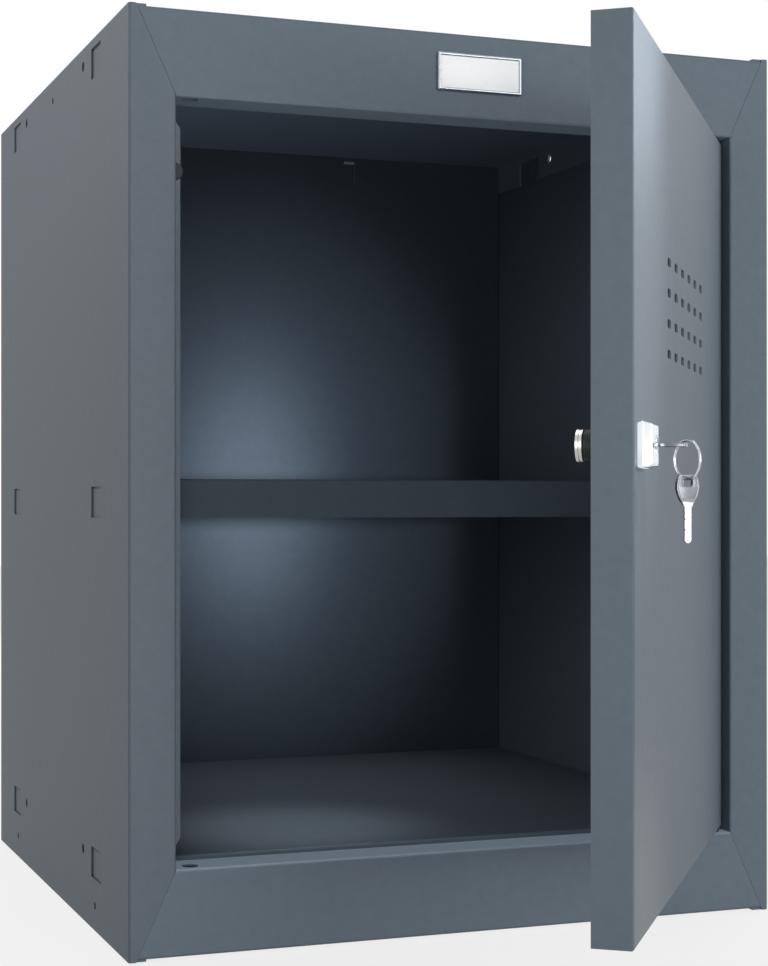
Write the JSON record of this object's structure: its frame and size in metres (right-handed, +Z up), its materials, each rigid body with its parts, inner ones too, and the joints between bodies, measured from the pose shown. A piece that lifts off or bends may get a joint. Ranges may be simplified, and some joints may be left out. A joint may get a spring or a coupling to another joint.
{
  "type": "cube locker",
  "caption": "Steel cube locker with a hinged, slotted door, a cam lock with keys on a ring, and a lift-out shelf.",
  "frame": {"origin": "middle of the carcass base, on the plane that the side panels stand on", "axes": "+Z up, the front with its door faces -Y, +X to the hinge side"},
  "size_m": [0.4, 0.6743, 0.52],
  "materials": {
    "carcass_steel": "satin powder coat, blue-grey",
    "door_steel": "satin powder coat, blue-grey",
    "zinc_steel": "zinc plated",
    "rivet_aluminium": "satin",
    "bush_plastic": "black nylon",
    "buffer_rubber": "grey rubber",
    "bezel_metal": "bright frame",
    "card_plastic": "plain white card",
    "lock_chrome": "polished chrome",
    "lock_black": "black",
    "key_nickel": "nickel plated",
    "ring_chrome": "bright wire"
  },
  "bodies": {
    "carcass": {"left_side_panel": "carcass_steel", "right_side_panel": "carcass_steel", "top_panel": "carcass_steel", "floor_panel": "carcass_steel", "back_panel": "carcass_steel", "back_rivets": "rivet_aluminium", "top_rail": "carcass_steel", "bottom_rail": "carcass_steel", "corner_plates": "carcass_steel", "top_hinge_bush": "bush_plastic", "bottom_hinge_bush": "bush_plastic", "door_buffer": "buffer_rubber", "nameplate_bezel": "bezel_metal", "nameplate_card": "card_plastic"},
    "door": {"door_skin": "door_steel", "door_stiffener": "door_steel", "top_pivot_bracket": "zinc_steel", "bottom_pivot_bracket": "zinc_steel", "top_hinge_pin": "zinc_steel", "bottom_hinge_pin": "zinc_steel", "lock_face": "lock_chrome", "lock_barrel": "lock_black", "barrel_nut": "zinc_steel"},
    "plug": {"lock_plug": "lock_chrome", "lock_cam": "zinc_steel", "cam_nut": "zinc_steel"},
    "key": {"key_in_lock": "key_nickel"},
    "ring": {"key_ring": "ring_chrome"},
    "spare": {"spare_key": "key_nickel"},
    "shelf": {"shelf": "carcass_steel"}
  },
  "joints": [
    {"name": "door_swing", "type": "hinge", "parent": "carcass", "child": "door", "pos_m": [0.1634, -0.1912, 0.26], "axis": [0, 0, 1], "range_deg": [-52.4, 50]},
    {"name": "key_turn", "type": "hinge", "parent": "door", "child": "plug", "pos_m": [-0.02513, -0.44814, 0.2752], "axis": [0.7923, -0.6101, 0], "range_deg": [0, 180]},
    {"name": "key_slide", "type": "slide", "parent": "plug", "child": "key", "axis": [0.7923, -0.6101, 0], "range_m": [0, 0.024]},
    {"name": "ring_swing", "type": "hinge", "parent": "key", "child": "ring", "pos_m": [-0.01138, -0.45872, 0.2752], "axis": [0.1239, -0.7484, 0.6515], "range_deg": [-10, 10]},
    {"name": "spare_swing", "type": "hinge", "parent": "ring", "child": "spare", "pos_m": [-0.01046, -0.46432, 0.2599], "axis": [0.1633, -0.9866, 0], "range_deg": [-25, 25]},
    {"name": "shelf_lift", "type": "slide", "parent": "carcass", "child": "shelf", "axis": [0, 0, 1], "range_m": [0, 0.02]}
  ]
}
